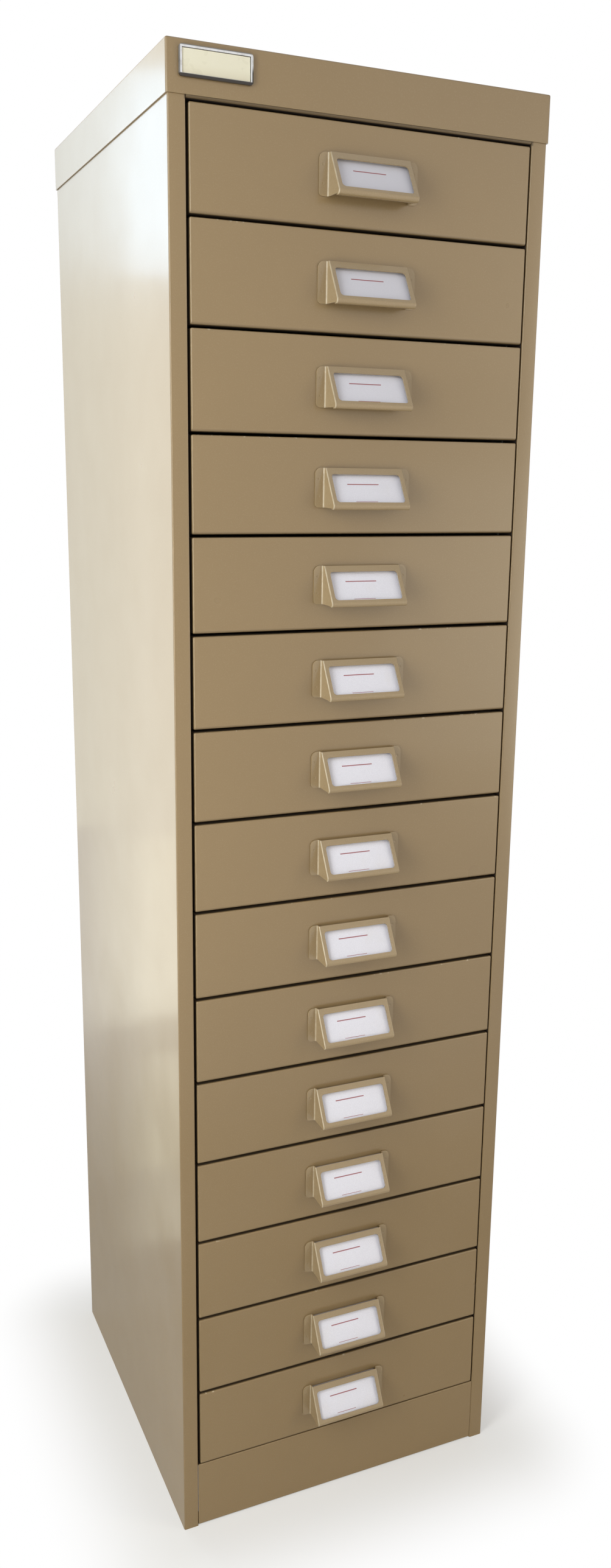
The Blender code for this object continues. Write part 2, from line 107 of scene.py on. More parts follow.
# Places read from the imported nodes
DRAWERS = [name for name in frame["bodies"] if name.startswith("drawer_")]
FRONT_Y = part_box("header_rail")[0].y
STILE_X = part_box("header_rail")[1].x
HEADER_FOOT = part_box("header_rail")[0].z
DRAWER_LOW, DRAWER_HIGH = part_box("drawer_01")
DRAWER_TOP = DRAWER_HIGH.z
DRAWER_PITCH = DRAWER_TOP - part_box("drawer_02")[1].z
FRONT_HEIGHT = DRAWER_TOP - DRAWER_LOW.z
DRAWER_MIDDLE = (DRAWER_LOW.x + DRAWER_HIGH.x) / 2
DRAWER_HALF = (DRAWER_HIGH.x - DRAWER_LOW.x) / 2
CARD_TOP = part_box("card_01")[1].z

# Paints and finishes, as linear red, green and blue
ENAMEL = (0.262, 0.180, 0.087)
ENAMEL_SPECK = (0.33, 0.25, 0.15)
# The pulls' enamel and specks are a lighter copy of the case enamel: painted light on the pulls
PULL_ENAMEL_PAINTED_LIGHT = (0.32, 0.233, 0.125)
PULL_SPECK_PAINTED_LIGHT = (0.42, 0.34, 0.22)
# Bare metal at chipped edges, also the colour of the painted highlight on the pull's folds
BARE_EDGE_AND_HIGHLIGHT = (0.55, 0.47, 0.34)
# Near-black painted shade for the gaps between the fronts
GAP_PAINTED_SHADE = (0.026, 0.015, 0.009)
STEEL_DARK = (0.36, 0.36, 0.35)
STEEL_LIGHT = (0.50, 0.50, 0.48)
STEEL_RUBBED = (0.28, 0.27, 0.25)
CARD_DARK = (0.74, 0.74, 0.84)
CARD_LIGHT = (0.80, 0.80, 0.90)
CARD_PAINTED_SHADE = (0.61, 0.61, 0.69)
CARD_AGED = (0.66, 0.60, 0.50)
CARD_EDGE_PAINTED_SHADE = (0.16, 0.13, 0.10)
CARD_RED = (0.27, 0.025, 0.035)
CHROME_BRIGHT = (0.74, 0.74, 0.74)
CHROME_HAZE = (0.50, 0.48, 0.45)
CHROME_PAINTED_DARK = (0.03, 0.024, 0.02)
PLATE_DARK = (0.75, 0.72, 0.58)
PLATE_LIGHT = (0.76, 0.73, 0.60)
PLATE_AGED = (0.62, 0.57, 0.43)
FLOOR_PALE = (0.84, 0.84, 0.84)
WHITE = (1, 1, 1)
SOFT_WHITE = (1.0, 0.99, 0.97)

# Features a metre in the finishes' noise
MOTTLE = 3.0
GRAIN = 70.0
SPECKS = 900.0
SMUDGES = 18.0
SCUFFS = 11.0
ORANGE_PEEL = 420.0
SHEET_WAVES = 5.0
FOLD_WEAR = 240.0
CHIPS = 260.0
CHIP_GROUPS = 9.0
STEEL_SPANGLE = 90.0
STEEL_CLOUDS = 14.0
ROLLING_MARKS = 60.0
CARD_FIBRES = 1400.0
CARD_STAINS = 35.0
CHROME_CLOUDS = 160.0
CHROME_SCRATCHES = 500.0
PLATE_CLOUDS = 90.0
PLATE_GRAIN = 700.0

# How deep the finishes' bumps go
PEEL_DEPTH = 0.000006
WAVE_DEPTH = 0.0002
ROLLING_DEPTH = 0.00005
FINE_DEPTH = 0.00002
PLATE_DEPTH = 0.00001

# Enamel: roughness from and to, coat from and to, and the heights between which the coat rises
ENAMEL_ROUGHNESS = (0.27, 0.31)
ENAMEL_COAT = (0.05, 0.35)
COAT_HEIGHTS = (0.05, 0.62)
COAT_RAGGED = 0.12
COAT_ROUGHNESS = 0.12
GAP_ROUGHNESS = 0.5
PULL_GLOSS = 0.35

# Painted shade in the gaps and on the header rail's band under the cap: depths behind the fronts' face, and
# soft edges as where they start and where they end
GAP_START = 0.0010
DRAWER_GAP_END = 0.0125
CASE_GAP_END = 0.030
FADE_IN = 0.0012
FADE_OUT = 0.0010
DRAWER_EDGE = (0.0002, 0.0006)
STILE_EDGE = (0.0014, 0.0018)
HEADER_EDGE = (0.0016, 0.0020)
HEADER_BAND_LIFT = 0.0008
HEADER_BAND = (-0.0014, 0.004)
DRAWER_GAP_SHARE = 0.85
HEADER_BAND_SHARE = 0.55

# Painted shade along the drawer fronts' lower bend, measured up from the foot, and chips on their top edges,
# measured down from the top
FOOT_BAND = (0.0030, 0.0006)
FOOT_BAND_SHARE = 0.42
CHIP_EDGE = (0.0002, 0.0016)

# Painted highlights as pale lines on the pull's left fold and in its flange's bend, measured from the wall
FOLD_OUTER = 0.0002
FOLD_INNER = (0.0006, 0.0013)
FOLD_TOP = 0.001
BEND_LINE = 0.0005
BEND_SPREAD = (0.0003, 0.0006)
FOLD_SHARE = 0.62
BEND_SHARE = 0.45

# Ruled lines on the cards: drop below the card's top, half length and half thickness
CARD_LINES = ((0.0115, 0.0145, 0.00032), (0.0256, 0.0100, 0.00012))
CARD_LINE_MIDDLE = -0.003
LINE_EDGE = 0.00012
LINE_END = 0.0003
LINE_SHARE = 0.9

# Painted shade: the card's darkened top edge, and the heights between which the cards get darker
CARD_BROW = (0.0012, 0.0024)
CARD_BROW_SHARE = 0.85
CARD_SHADED = (0.9, 1.25)
CARD_SHADED_SHARE = 0.75

# Painted dark reflections on the badge's frame, measured from its foot, right end, left end and top
BADGE_FOOT = (0.0019, 0.0023)
BADGE_RIGHT = (0.0012, 0.0009)
BADGE_RIGHT_RISE = (0.008, 0.014)
BADGE_LEFT = (0.0006, 0.0010)
BADGE_TOP = (0.0009, 0.0006)

# The floor: half its size, the case's foot, and how far its shadow and its reflection fade
FLOOR_REACH = 14.0
CASE_FOOT = (0.168, 0.183)
SHADOW_FADE = (0.0, 0.13)
SHADOW_SHARE = 0.35
MIRROR_FADE = (0.25, 1.1)

# Strength of the world's light, but for the white that the camera and gloss see
SOFT_STRENGTH = 0.42

# Lamps: name, place, aim, width and height, watts, colour
LAMPS = (
    ("key", (-0.9, -2.7, 2.2), (0, 0, 1.0), (1.5, 1.4), 5.6, (1.0, 0.98, 0.93)),
    ("front", (1.7, -2.4, 0.6), (0.05, 0, 0.3), (1.0, 0.9), 2.7, (0.98, 0.98, 0.9)),
    ("fill", (1.7, -2.4, 1.9), (0, 0, 1.0), (1.2, 1.2), 2.2, (1.0, 0.86, 0.68)),
    ("right", (1.3, -1.3, 0.9), (0.1, -0.17, 0.8), (0.5, 1.4), 6.4, (1.0, 0.9, 0.66)),
    ("left_high", (-0.75, -0.38, 1.3), (-0.17, -0.1, 1.2), (0.3, 0.7), 1.5, (0.84, 0.96, 1.0)),
    ("left_middle", (-0.8, -0.6, 1.05), (-0.17, -0.15, 0.85), (0.3, 0.9), 4.2, (1.0, 0.99, 0.94)),
    ("left_low", (-0.75, -0.55, 0.6), (-0.17, -0.15, 0.45), (0.3, 0.7), 2.1, (1.0, 0.99, 0.9)),
    ("sheen_front", (-0.56, 0.95, 0.96), (-0.17, -0.1, 0.96), (0.20, 1.88), 1.6, (1.0, 1.0, 0.86)),
    ("sheen_middle", (-0.42, 0.95, 0.96), (-0.17, 0.0, 0.96), (0.08, 1.88), 0.32, (1.0, 1.0, 0.75)),
    ("sheen_back", (-0.33, 0.95, 1.16), (-0.17, 0.1, 1.16), (0.10, 1.5), 0.24, (1.0, 1.0, 0.7)),
    ("sheen_near", (-0.385, 0.5, 0.26), (-0.17, -0.1, 0.5), (0.11, 0.48), 0.07, (1.0, 0.95, 0.6)),
    ("sheen_foot", (-0.32, 0.3, 0.14), (-0.17, -0.1, 0.4), (0.08, 0.24), 0.04, (1.0, 1.0, 0.8)),
    ("window", (-1.12, 2.6, 1.86), (-0.17, -0.1, 1.2), (0.36, 0.55), 2.4, (0.45, 0.7, 1.0)),
)


class Graph:
    """A node tree that is written one node at a time."""

    def __init__(self, tree):
        self.tree = tree
        tree.nodes.clear()

    def node(self, kind, **settings):
        item = self.tree.nodes.new(kind)
        for key, value in settings.items():
            setattr(item, key, value)
        return item

    def fill(self, socket, value):
        """Put a number, a colour or another node's output into a socket."""
        if isinstance(value, bpy.types.NodeSocket):
            self.tree.links.new(value, socket)
        elif socket.type == "RGBA":
            socket.default_value = (*value, 1.0)
        else:
            socket.default_value = value

    def math(self, operation, first, second=0.5):
        item = self.node("ShaderNodeMath", operation=operation)
        self.fill(item.inputs[0], first)
        self.fill(item.inputs[1], second)
        return item.outputs[0]

    def times(self, first, *others):
        for other in others:
            first = self.math("MULTIPLY", first, other)
        return first

    def most(self, first, *others):
        for other in others:
            first = self.math("MAXIMUM", first, other)
        return first

    def less(self, first, second):
        return self.math("SUBTRACT", first, second)

    def apart(self, value, centre):
        """How far a value is from a centre."""
        return self.math("ABSOLUTE", self.less(value, centre))


class Surface(Graph):
    """A node material around one principled shader."""

    def __init__(self, name):
        self.material = bpy.data.materials.new(name)
        self.material.use_nodes = True
        super().__init__(self.material.node_tree)
        self.output = self.node("ShaderNodeOutputMaterial")
        self.shader = self.node("ShaderNodeBsdfPrincipled")
        self.fill(self.output.inputs["Surface"], self.shader.outputs["BSDF"])
        self.place = self.node("ShaderNodeTexCoord").outputs["Object"]

    def set(self, name, value):
        self.fill(self.shader.inputs[name], value)

    def axes(self):
        """The place's x, y and z values."""
        item = self.node("ShaderNodeSeparateXYZ")
        self.fill(item.inputs[0], self.place)
        return item.outputs

    def noise(self, scale, detail, stretch=None):
        """A noise value in 0 to 1 at so many features a metre."""
        place = self.place
        if stretch:
            mapping = self.node("ShaderNodeMapping")
            self.fill(mapping.inputs["Scale"], stretch)
            self.fill(mapping.inputs["Vector"], place)
            place = mapping.outputs["Vector"]
        item = self.node("ShaderNodeTexNoise")
        self.fill(item.inputs["Scale"], scale)
        self.fill(item.inputs["Detail"], detail)
        self.fill(item.inputs["Vector"], place)
        return item.outputs["Fac"]

    def ranged(self, value, low, high, to_low=0.0, to_high=1.0):
        """A value mapped softly from one range to another."""
        item = self.node("ShaderNodeMapRange", interpolation_type="SMOOTHSTEP")
        self.fill(item.inputs["Value"], value)
        self.fill(item.inputs["From Min"], low)
        self.fill(item.inputs["From Max"], high)
        self.fill(item.inputs["To Min"], to_low)
        self.fill(item.inputs["To Max"], to_high)
        return item.outputs["Result"]

    def fall(self, value, low, high, start=1.0):
        """A value that falls softly to 0."""
        return self.ranged(value, low, high, start, 0.0)

    def mix(self, factor, first, second):
        """Two colours mixed by a factor."""
        item = self.node("ShaderNodeMix", data_type="RGBA")
        colours = [socket for socket in item.inputs if socket.type == "RGBA"]
        self.fill(item.inputs["Factor"], factor)
        self.fill(colours[0], first)
        self.fill(colours[1], second)
        return next(socket for socket in item.outputs if socket.type == "RGBA")

    def bump(self, height, distance, strength, normal=None):
        """A bump layer from a height value."""
        item = self.node("ShaderNodeBump")
        self.fill(item.inputs["Distance"], distance)
        self.fill(item.inputs["Strength"], strength)
        self.fill(item.inputs["Height"], height)
        if normal:
            self.fill(item.inputs["Normal"], normal)
        return item.outputs["Normal"]


def scaled(colour, share):
    """A colour made darker or lighter."""
    return tuple(value * share for value in colour)


def behind_fronts(s, start, end):
    """1 between two depths behind the fronts' face, with soft ends."""
    y = s.axes()[1]
    near = s.ranged(y, FRONT_Y + start, FRONT_Y + start + FADE_IN)
    far = s.fall(y, FRONT_Y + end, FRONT_Y + end + FADE_OUT)
    return s.times(near, far)


def below_drawer_top(s):
    """How far a place lies below the top of its own drawer front."""
    return s.math("MODULO", s.less(DRAWER_TOP, s.axes()[2]), DRAWER_PITCH)


def drawer_gap_painted_shade(s):
    """Painted shade on the outer faces of the drawer fronts' turned-back edges, where the gaps between the
    fronts fall dark.
    """
    from_side = s.less(DRAWER_HALF, s.apart(s.axes()[0], DRAWER_MIDDLE))
    below_top = below_drawer_top(s)
    above_foot = s.less(FRONT_HEIGHT, below_top)
    inwards = s.math("MINIMUM", s.math("MINIMUM", from_side, below_top), above_foot)
    edge = s.fall(inwards, *DRAWER_EDGE, DRAWER_GAP_SHARE)
    return s.times(edge, behind_fronts(s, GAP_START, DRAWER_GAP_END))


def case_gap_painted_shade(s):
    """Painted shade on the turned-back edges of the stiles and rails, and on the header rail's band under
    the cap.
    """
    x, _, z = s.axes()
    within = s.fall(s.apart(x, 0.0), *(STILE_X + edge for edge in STILE_EDGE))
    below = s.fall(z, *(HEADER_FOOT + edge for edge in HEADER_EDGE))
    inside = s.times(within, below, behind_fronts(s, GAP_START, CASE_GAP_END))
    # Painted shade on the header rail's band, where the cap's lower edge shades it
    band = s.fall(s.apart(z, HEADER_FOOT + HEADER_BAND_LIFT), *HEADER_EDGE, HEADER_BAND_SHARE)
    return s.most(inside, s.times(within, band, behind_fronts(s, *HEADER_BAND)))


def fold_painted_highlight(s):
    """A painted highlight: paler colour on the pull's left fold and in the bend of its flange."""
    x, y, _ = s.axes()
    wall = -PULL_WIDTH / 2
    fold = s.times(
        s.fall(x, *(wall + edge for edge in FOLD_INNER)),
        s.ranged(x, wall, wall + FOLD_OUTER),
        s.fall(y, -PULL_TOP_REACH - FOLD_TOP, -PULL_TOP_REACH + FOLD_TOP, FOLD_SHARE),
    )
    bend = s.fall(s.apart(x, wall - BEND_LINE), *BEND_SPREAD, BEND_SHARE)
    rough = s.ranged(s.noise(FOLD_WEAR, 2.0), 0.3, 0.6, 0.55, 1.0)
    return s.times(s.most(fold, bend), rough)


def foot_painted_shade(s):
    """Painted shade: a soft dark band along each drawer front's lower bend."""
    band = (FRONT_HEIGHT - edge for edge in FOOT_BAND)
    return s.ranged(below_drawer_top(s), *band, 0.0, FOOT_BAND_SHARE)


def front_chips(s):
    """Small chips where the drawers' top edges have been knocked."""
    edge = s.fall(below_drawer_top(s), *CHIP_EDGE)
    spots = s.ranged(s.noise(CHIPS, 2.0), 0.62, 0.68)
    few = s.ranged(s.noise(CHIP_GROUPS, 1.0), 0.55, 0.64)
    return s.times(edge, spots, few)


def enamel_surface(name, colour, speck_colour, gaps=None, chips=None, gloss=0.0, shade=None):
    """Sprayed semi-gloss enamel: orange peel, faint mottling, chipped edges, a painted fold highlight, and
    painted shade in the gaps and along the lower bends.
    """
    s = Surface(name)
    broad = s.noise(MOTTLE, 3.0)
    fine = s.noise(GRAIN, 3.0)
    speck = s.noise(SPECKS, 1.0)
    tone = s.mix(s.ranged(broad, 0.2, 0.8), scaled(colour, 0.97), scaled(colour, 1.03))
    tone = s.mix(s.ranged(fine, 0.2, 0.9, 0.0, 0.12), tone, scaled(colour, 0.88))
    tone = s.mix(s.ranged(speck, 0.5, 0.8, 0.0, 0.2), tone, speck_colour)
    # Painted shade, such as the dark band along the drawer fronts' lower bends
    if shade:
        tone = s.mix(shade(s), tone, scaled(colour, 0.45))
    # The chips argument carries real chips on the drawer fronts, and the painted highlight on the pull's
    # folds
    if chips:
        tone = s.mix(chips(s), tone, BARE_EDGE_AND_HIGHLIGHT)
    levels = (level - gloss / 5 for level in ENAMEL_ROUGHNESS)
    rough = s.ranged(s.noise(SMUDGES, 2.0), 0.1, 0.9, *levels)
    ragged = s.ranged(s.noise(SCUFFS, 3.0), 0.3, 0.7, -COAT_RAGGED, COAT_RAGGED)
    height = s.math("ADD", s.axes()[2], ragged)
    coat = s.ranged(height, *COAT_HEIGHTS, *(level + gloss for level in ENAMEL_COAT))
    if gaps:
        # Painted shade in the gaps: near-black, duller and without coat
        gap = gaps(s)
        tone = s.mix(gap, tone, GAP_PAINTED_SHADE)
        rough = s.math("ADD", rough, s.times(gap, GAP_ROUGHNESS))
        coat = s.times(coat, s.less(1.0, gap))
    peel = s.bump(s.noise(ORANGE_PEEL, 1.0), PEEL_DEPTH, 1.0)
    s.set("Base Color", tone)
    s.set("Roughness", rough)
    s.set("Normal", s.bump(s.noise(SHEET_WAVES, 0.0), WAVE_DEPTH, 1.0, peel))
    s.set("Coat Weight", coat)
    s.set("Coat Roughness", COAT_ROUGHNESS)
    return s.material


def steel_surface(name):
    """Zinc-plated strip: pale spangle, rolling marks along the runners and rubbed spots."""
    s = Surface(name)
    spangle = s.node("ShaderNodeTexVoronoi", feature="F1")
    s.fill(spangle.inputs["Scale"], STEEL_SPANGLE)
    s.fill(spangle.inputs["Vector"], s.place)
    cloud = s.noise(STEEL_CLOUDS, 4.0)
    tone = s.mix(s.ranged(spangle.outputs["Color"], 0.1, 0.9), STEEL_DARK, STEEL_LIGHT)
    s.set("Base Color", s.mix(s.ranged(cloud, 0.4, 0.75, 0.0, 0.5), tone, STEEL_RUBBED))
    s.set("Metallic", 0.85)
    s.set("Roughness", s.ranged(cloud, 0.3, 0.7, 0.34, 0.5))
    s.set("Normal", s.bump(s.noise(ROLLING_MARKS, 3.0, stretch=(8, 0.3, 8)), ROLLING_DEPTH, 0.6))
    return s.material


def card_surface(name):
    """Smooth white index card with faint fibres, two plain ruled lines, a little age, and painted shade on
    its top edge and on the higher cards.
    """
    s = Surface(name)
    x, _, z = s.axes()
    fibre = s.noise(CARD_FIBRES, 3.0)
    tone = s.mix(s.ranged(fibre, 0.3, 0.7), CARD_DARK, CARD_LIGHT)
    # Painted shade: the higher cards darker
    tone = s.mix(s.ranged(z, *CARD_SHADED, 0.0, CARD_SHADED_SHARE), tone, CARD_PAINTED_SHADE)
    tone = s.mix(s.ranged(s.noise(CARD_STAINS, 3.0), 0.55, 0.8, 0.0, 0.12), tone, CARD_AGED)
    below_top = s.math("MODULO", s.less(CARD_TOP, z), DRAWER_PITCH)
    # Painted shade on the card's top edge behind the pull's brow
    tone = s.mix(s.fall(below_top, *CARD_BROW, CARD_BROW_SHARE), tone, CARD_EDGE_PAINTED_SHADE)
    from_middle = s.apart(x, DRAWER_MIDDLE + CARD_LINE_MIDDLE)
    for drop, half, thick in CARD_LINES:
        line = s.fall(s.apart(below_top, drop), thick, thick + LINE_EDGE)
        span = s.fall(from_middle, half, half + LINE_END, LINE_SHARE)
        tone = s.mix(s.times(line, span), tone, CARD_RED)
    s.set("Base Color", tone)
    s.set("Roughness", 0.7)
    s.set("Normal", s.bump(fibre, FINE_DEPTH, 0.5))
    return s.material


def chrome_surface(name):
    """Bright plating with hairline scratches, and painted dark reflections along its foot, its ends and its
    top edge.
    """
    s = Surface(name)
    low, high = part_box("badge_frame")
    x, _, z = s.axes()
    haze = s.noise(CHROME_CLOUDS, 3.0)
    foot = s.fall(z, *(low.z + edge for edge in BADGE_FOOT))
    right = s.ranged(x, *(high.x - edge for edge in BADGE_RIGHT))
    right = s.times(right, s.ranged(z, *(low.z + edge for edge in BADGE_RIGHT_RISE), 1.0, 0.25))
    left = s.fall(x, *(low.x + edge for edge in BADGE_LEFT), 0.8)
    top = s.ranged(z, *(high.z - edge for edge in BADGE_TOP), 0.0, 0.75)
    # Painted dark reflections: dark, non-metal bands on the frame
    painted_dark = s.most(foot, right, left, top)
    tone = s.mix(s.ranged(haze, 0.4, 0.8), CHROME_BRIGHT, CHROME_HAZE)
    s.set("Base Color", s.mix(painted_dark, tone, CHROME_PAINTED_DARK))
    s.set("Metallic", s.less(1.0, painted_dark))
    s.set("Roughness", s.ranged(haze, 0.3, 0.8, 0.08, 0.22))
    s.set("Normal", s.bump(s.noise(CHROME_SCRATCHES, 2.0, stretch=(0.2, 1, 3)), FINE_DEPTH, 0.5))
    return s.material


def plate_surface(name):
    """The badge's bare cream plate, a little yellowed towards its foot."""
    s = Surface(name)
    low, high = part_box("badge_plate")
    haze = s.noise(PLATE_CLOUDS, 2.0)
    tone = s.mix(s.ranged(haze, 0.2, 0.9), PLATE_DARK, PLATE_LIGHT)
    aged = s.fall(s.axes()[2], low.z, (low.z + high.z) / 2, 0.5)
    s.set("Base Color", s.mix(aged, tone, PLATE_AGED))
    s.set("Roughness", s.ranged(haze, 0.2, 0.9, 0.27, 0.30))
    s.set("Normal", s.bump(s.noise(PLATE_GRAIN, 2.0), PLATE_DEPTH, 0.5))
    return s.material


def flat(x, y):
    """A two-value vector."""
    return Vector((x, y))


def around(angle):
    """The direction at an angle in a plane."""
    return flat(math.cos(angle), math.sin(angle))


def arc(centre, radius, start, end, steps):
    """Points on a circle in a plane, both ends included."""
    turn = (end - start) / steps
    return [centre + radius * around(start + turn * i) for i in range(steps + 1)]


def touch_angle(centre, radius, outside, side):
    """The angle on a circle where a line from an outside point touches it."""
    away = outside - centre
    return math.atan2(away.y, away.x) + side * math.acos(radius / away.length)


def linked(name, data):
    """Data as an object in the scene."""
    item = bpy.data.objects.new(name, data)
    bpy.context.scene.collection.objects.link(item)
    return item


def to_mesh(work, name):
    """A finished bmesh as a mesh."""
    mesh = bpy.data.meshes.new(name)
    work.to_mesh(mesh)
    work.free()
    return mesh


def applied(item):
    """An object's mesh with its modifiers applied."""
    graph = bpy.context.evaluated_depsgraph_get()
    graph.update()
    return bpy.data.meshes.new_from_object(item.evaluated_get(graph))


def keep_sharp_normals(item):
    """Shading that follows the large faces and keeps crisp edges."""
    item.modifiers.new("normals", "WEIGHTED_NORMAL").keep_sharp = True


def pull_profile():
    """The pull's outer line in (y, z) with its outward normals, from the brow round the roll."""
    roll = flat(PULL_ROLL - PULL_FOOT_REACH, PULL_ROLL - PULL_FOOT_DROP)
    brow = flat(-PULL_TOP_REACH, PULL_HEIGHT)
    start = touch_angle(roll, PULL_ROLL, brow, 1) % math.tau
    end = touch_angle(roll, PULL_ROLL, flat(0, 0), -1) % math.tau
    round_roll = arc(flat(0, 0), 1.0, start, end, ROLL_STEPS)
    points = [brow, *(roll + PULL_ROLL * normal for normal in round_roll)]
    return points, [flat(-1, 0), *round_roll]


def fold_columns(work, side):
    """Lines of points round the fold between one wall and the face, from the wall inwards."""
    points, normals = pull_profile()
    columns = []
    for step in range(BEND_STEPS + 1):
        swing = around(step / BEND_STEPS * math.pi / 2)
        inset = PULL_EDGE * (1 - swing.y)
        x = side * (PULL_WIDTH / 2 - PULL_EDGE + PULL_EDGE * swing.x)
        spots = [point - normal * inset for point, normal in zip(points, normals)]
        columns.append([work.verts.new((x, spot.x, spot.y)) for spot in spots])
    return columns


def wall_foot(share):
    """The wall's lower edge between the flange and the roll, as a soft S."""
    return share * share * (3 - 2 * share)


def add_wall(work, side, rim):
    """One side wall under its fold's rim. Gives back its two points at the flange's bend."""
    wall_x = side * PULL_WIDTH / 2
    bend_y = -PULL_SHEET - PULL_FILLET
    last = rim[-1].co
    top = work.verts.new((wall_x, bend_y, PULL_HEIGHT))
    foot = []
    for i in range(WALL_STEPS):
        share = i / WALL_STEPS
        y = bend_y + (last.y - bend_y) * share
        foot.append(work.verts.new((wall_x, y, last.z * wall_foot(share))))
    wall = [top, *rim, *reversed(foot)]
    work.faces.new(wall if side > 0 else list(reversed(wall)))
    return top, foot[0]


def add_flange(work, side, near_top, near_foot):
    """One flange on the drawer front, with its bend and its two rounded corners."""
    half = PULL_WIDTH / 2
    for step in range(1, BEND_STEPS + 1):
        swing = around(step / BEND_STEPS * math.pi / 2)
        x = side * (half + PULL_FILLET * (1 - swing.x))
        y = -PULL_SHEET - PULL_FILLET * (1 - swing.y)
        next_top = work.verts.new((x, y, PULL_HEIGHT))
        next_foot = work.verts.new((x, y, 0))
        strip = (near_top, near_foot, next_foot, next_top)
        work.faces.new(strip if side > 0 else tuple(reversed(strip)))
        near_top, near_foot = next_top, next_foot
    tip = half + FLANGE_WIDTH
    top = flat(tip - FLANGE_TOP_RADIUS, PULL_HEIGHT - FLANGE_TOP_RADIUS)
    foot = flat(tip - FLANGE_FOOT_RADIUS, FLANGE_FOOT_RADIUS)
    outline = [
        *arc(top, FLANGE_TOP_RADIUS, math.pi / 2, 0, CORNER_STEPS),
        *arc(foot, FLANGE_FOOT_RADIUS, 0, -math.pi / 2, CORNER_STEPS),
    ]
    edge = [work.verts.new((side * p.x, -PULL_SHEET, p.y)) for p in outline]
    flange = [near_top, *edge, near_foot]
    work.faces.new(flange if side < 0 else list(reversed(flange)))


def pull_sheet():
    """The pull's visible skin: two flanges, two walls, the face, the rolled foot and its lip."""
    work = bmesh.new()
    left = fold_columns(work, -1)
    right = fold_columns(work, 1)[::-1]
    columns = [*left, *right]
    for first, second in zip(columns, columns[1:]):
        for i in range(len(first) - 1):
            work.faces.new((first[i], second[i], second[i + 1], first[i + 1]))
    end = pull_profile()[0][-1]
    tip = end - end.normalized() * PULL_LIP
    face_half = PULL_WIDTH / 2 - PULL_EDGE
    lip = [work.verts.new((x, tip.x, tip.y)) for x in (-face_half, face_half)]
    work.faces.new((left[-1][-1], right[0][-1], lip[1], lip[0]))
    for side, rim in ((-1, left[0]), (1, right[-1])):
        add_flange(work, side, *add_wall(work, side, rim))
    bmesh.ops.recalc_face_normals(work, faces=work.faces)
    middle = min(work.faces, key=lambda face: (face.calc_center_median() - Vector(FACE_MIDDLE)).length)
    if middle.normal.y > 0:
        bmesh.ops.reverse_faces(work, faces=work.faces)
    return work


def window_cutter():
    """A prism with rounded corners, square to the pull's face."""
    points, normals = pull_profile()
    down = Vector((0, *(points[1] - points[0]))).normalized()
    out = Vector((0, *normals[1]))
    middle = Vector((0, *points[0])) + down * (WINDOW_TOP_MARGIN + WINDOW_HEIGHT / 2)
    half_w = WINDOW_WIDTH / 2 - WINDOW_RADIUS
    half_h = WINDOW_HEIGHT / 2 - WINDOW_RADIUS
    outline = []
    for quarter, (sx, sz) in enumerate(((1, 1), (-1, 1), (-1, -1), (1, -1))):
        start = quarter * math.pi / 2
        corner = flat(sx * half_w, sz * half_h)
        outline += arc(corner, WINDOW_RADIUS, start, start + math.pi / 2, CORNER_STEPS)
    work = bmesh.new()
    rings = []
    for depth in (-WINDOW_CUT, WINDOW_CUT):
        centre = middle + out * depth
        rings.append([work.verts.new(centre + Vector((p.x, 0, 0)) - down * p.y) for p in outline])
    work.faces.new(rings[0])
    work.faces.new(rings[1][::-1])
    for i in range(len(outline)):
        work.faces.new((rings[0][i - 1], rings[1][i - 1], rings[1][i], rings[0][i]))
    bmesh.ops.recalc_face_normals(work, faces=work.faces)
    return linked("window_cutter", to_mesh(work, "window_cutter"))


def weld_cutters():
    """Balls that press the shallow spot-weld marks into the flanges."""
    items = []
    ball = (WELD_RADIUS ** 2 / WELD_DEPTH + WELD_DEPTH) / 2
    middle = PULL_WIDTH / 2 + PULL_FILLET + (FLANGE_WIDTH - PULL_FILLET) / 2
    for x in (-middle, middle):
        for height in WELD_HEIGHTS:
            work = bmesh.new()
            bmesh.ops.create_uvsphere(work, u_segments=BALL_STEPS, v_segments=BALL_STEPS, radius=ball)
            place = Matrix.Translation((x, -PULL_SHEET - ball + WELD_DEPTH, height))
            bmesh.ops.transform(work, matrix=place, verts=work.verts)
            items.append(linked("weld_cutter", to_mesh(work, "weld_cutter")))
    return items


def pull_mesh():
    """One pressed pull, its foot at the origin, with smooth bends and crisp edges."""
    item = linked("pull_pattern", to_mesh(pull_sheet(), "pull_pattern"))
    shell = item.modifiers.new("sheet", "SOLIDIFY")
    shell.thickness = PULL_SHEET
    shell.offset = -1.0
    shell.use_even_offset = True
    cutters = [window_cutter(), *weld_cutters()]
    for cutter in cutters:
        cut = item.modifiers.new("cut", "BOOLEAN")
        cut.operation = "DIFFERENCE"
        cut.solver = "EXACT"
        cut.object = cutter
    rim = item.modifiers.new("rim", "BEVEL")
    rim.width = PULL_RIM
    rim.segments = RIM_STEPS
    rim.limit_method = "ANGLE"
    rim.angle_limit = BEND_ANGLE
    mesh = applied(item)
    for old in [item, *cutters]:
        bpy.data.objects.remove(old, do_unlink=True)
    mesh.shade_smooth()
    mesh.set_sharp_from_angle(angle=SMOOTH_ANGLE)
    mesh.name = "pressed_pull"
    return mesh


def fit_pulls(enamel):
    """Each drawer's pull in full detail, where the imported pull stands."""
    mesh = pull_mesh()
    mesh.materials.clear()
    mesh.materials.append(enamel)
    for body in DRAWERS:
        node = body.replace("drawer", "pull")
        low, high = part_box(node)
        item = linked(f"pressed_{node}", mesh)
        item.location = ((low.x + high.x) / 2, high.y, low.z + PULL_FOOT_DROP)
        keep_sharp_normals(item)
        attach(item, body)
        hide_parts(node)


